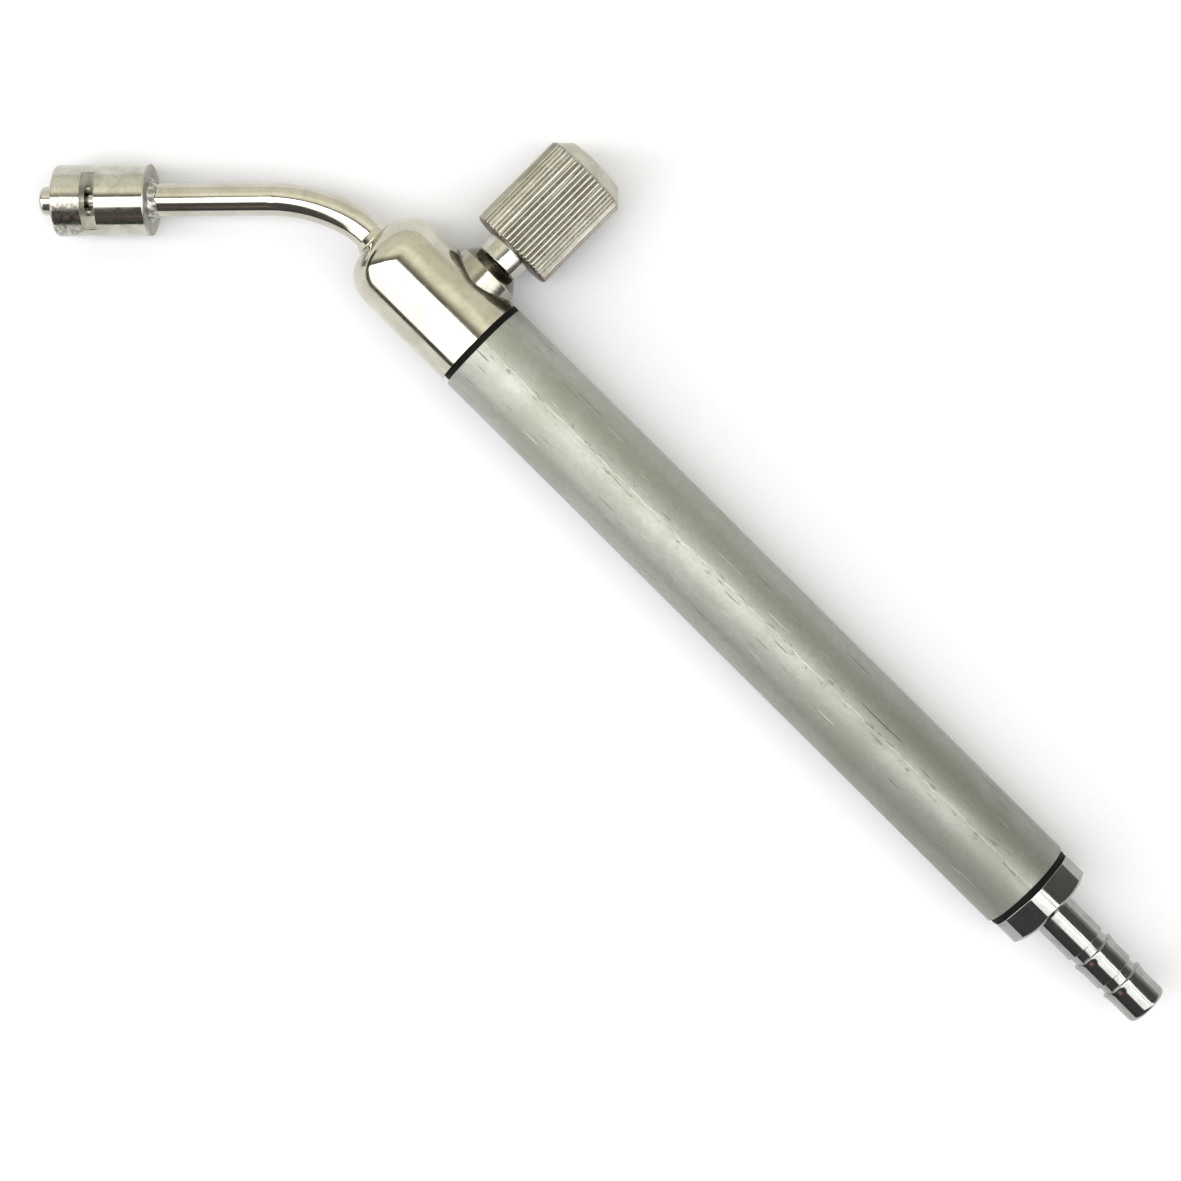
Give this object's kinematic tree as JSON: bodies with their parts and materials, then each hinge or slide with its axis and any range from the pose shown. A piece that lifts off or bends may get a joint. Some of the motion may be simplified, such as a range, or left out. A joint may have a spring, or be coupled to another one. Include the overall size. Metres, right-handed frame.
{
  "type": "auto siphon",
  "caption": "Hand-held metal siphon wand: hose barb, tube grip, needle valve with knurled knob, bent spout and a windowed push-to-open foot valve.",
  "frame": {"origin": "centre of the grip tube, on its axis", "axes": "+X along the grip to the hose tail, +Y to the control knob, +Z normal to both"},
  "size_m": [0.2672, 0.0834, 0.0246],
  "materials": {
    "grip": "satin",
    "washer": "matte",
    "seal": "matte",
    "nickel": "polished",
    "bright_nickel": "polished",
    "knob_nickel": "satin",
    "solder": "satin",
    "plain_brass": "satin",
    "spring_steel": "satin",
    "screw_steel": "satin"
  },
  "bodies": {
    "wand": {"grip_tube": "grip", "front_washer": "washer", "rear_washer": "washer", "valve_body": "nickel", "feed_pipe": "plain_brass", "front_pipe_seal": "seal", "rear_pipe_seal": "seal", "hose_tail": "bright_nickel", "spout_pipe": "nickel", "spout_solder": "solder", "head_solder": "solder", "head_body": "nickel", "head_end_cap": "plain_brass", "foot_spring": "spring_steel"},
    "needle": {"valve_needle": "plain_brass", "needle_clip": "spring_steel"},
    "knob": {"control_knob": "knob_nickel", "spindle": "nickel", "spindle_oring": "seal", "knob_screw": "screw_steel"},
    "plunger": {"foot_plunger": "nickel", "disc_seal": "seal", "valve_disc": "plain_brass", "stem_nut": "plain_brass"}
  },
  "joints": [
    {"name": "needle_lift", "type": "slide", "parent": "wand", "child": "needle", "axis": [0, 1, 0], "range_m": [0, 0.0025]},
    {"name": "knob_turn", "type": "hinge", "parent": "needle", "child": "knob", "pos_m": [-0.0837, 0.0286, 0], "axis": [0, 1, 0], "range_deg": [0, 900]},
    {"name": "plunger_press", "type": "slide", "parent": "wand", "child": "plunger", "axis": [0.7071, 0.6929, 0.141], "range_m": [0, 0.002], "stiffness_N_per_m": 400, "springref_m": -0.002, "deforming": ["foot_spring"]}
  ],
  "couplings": [
    {"joint": "knob_turn", "follows": "needle_lift", "rad_per_m": 6283.2}
  ]
}
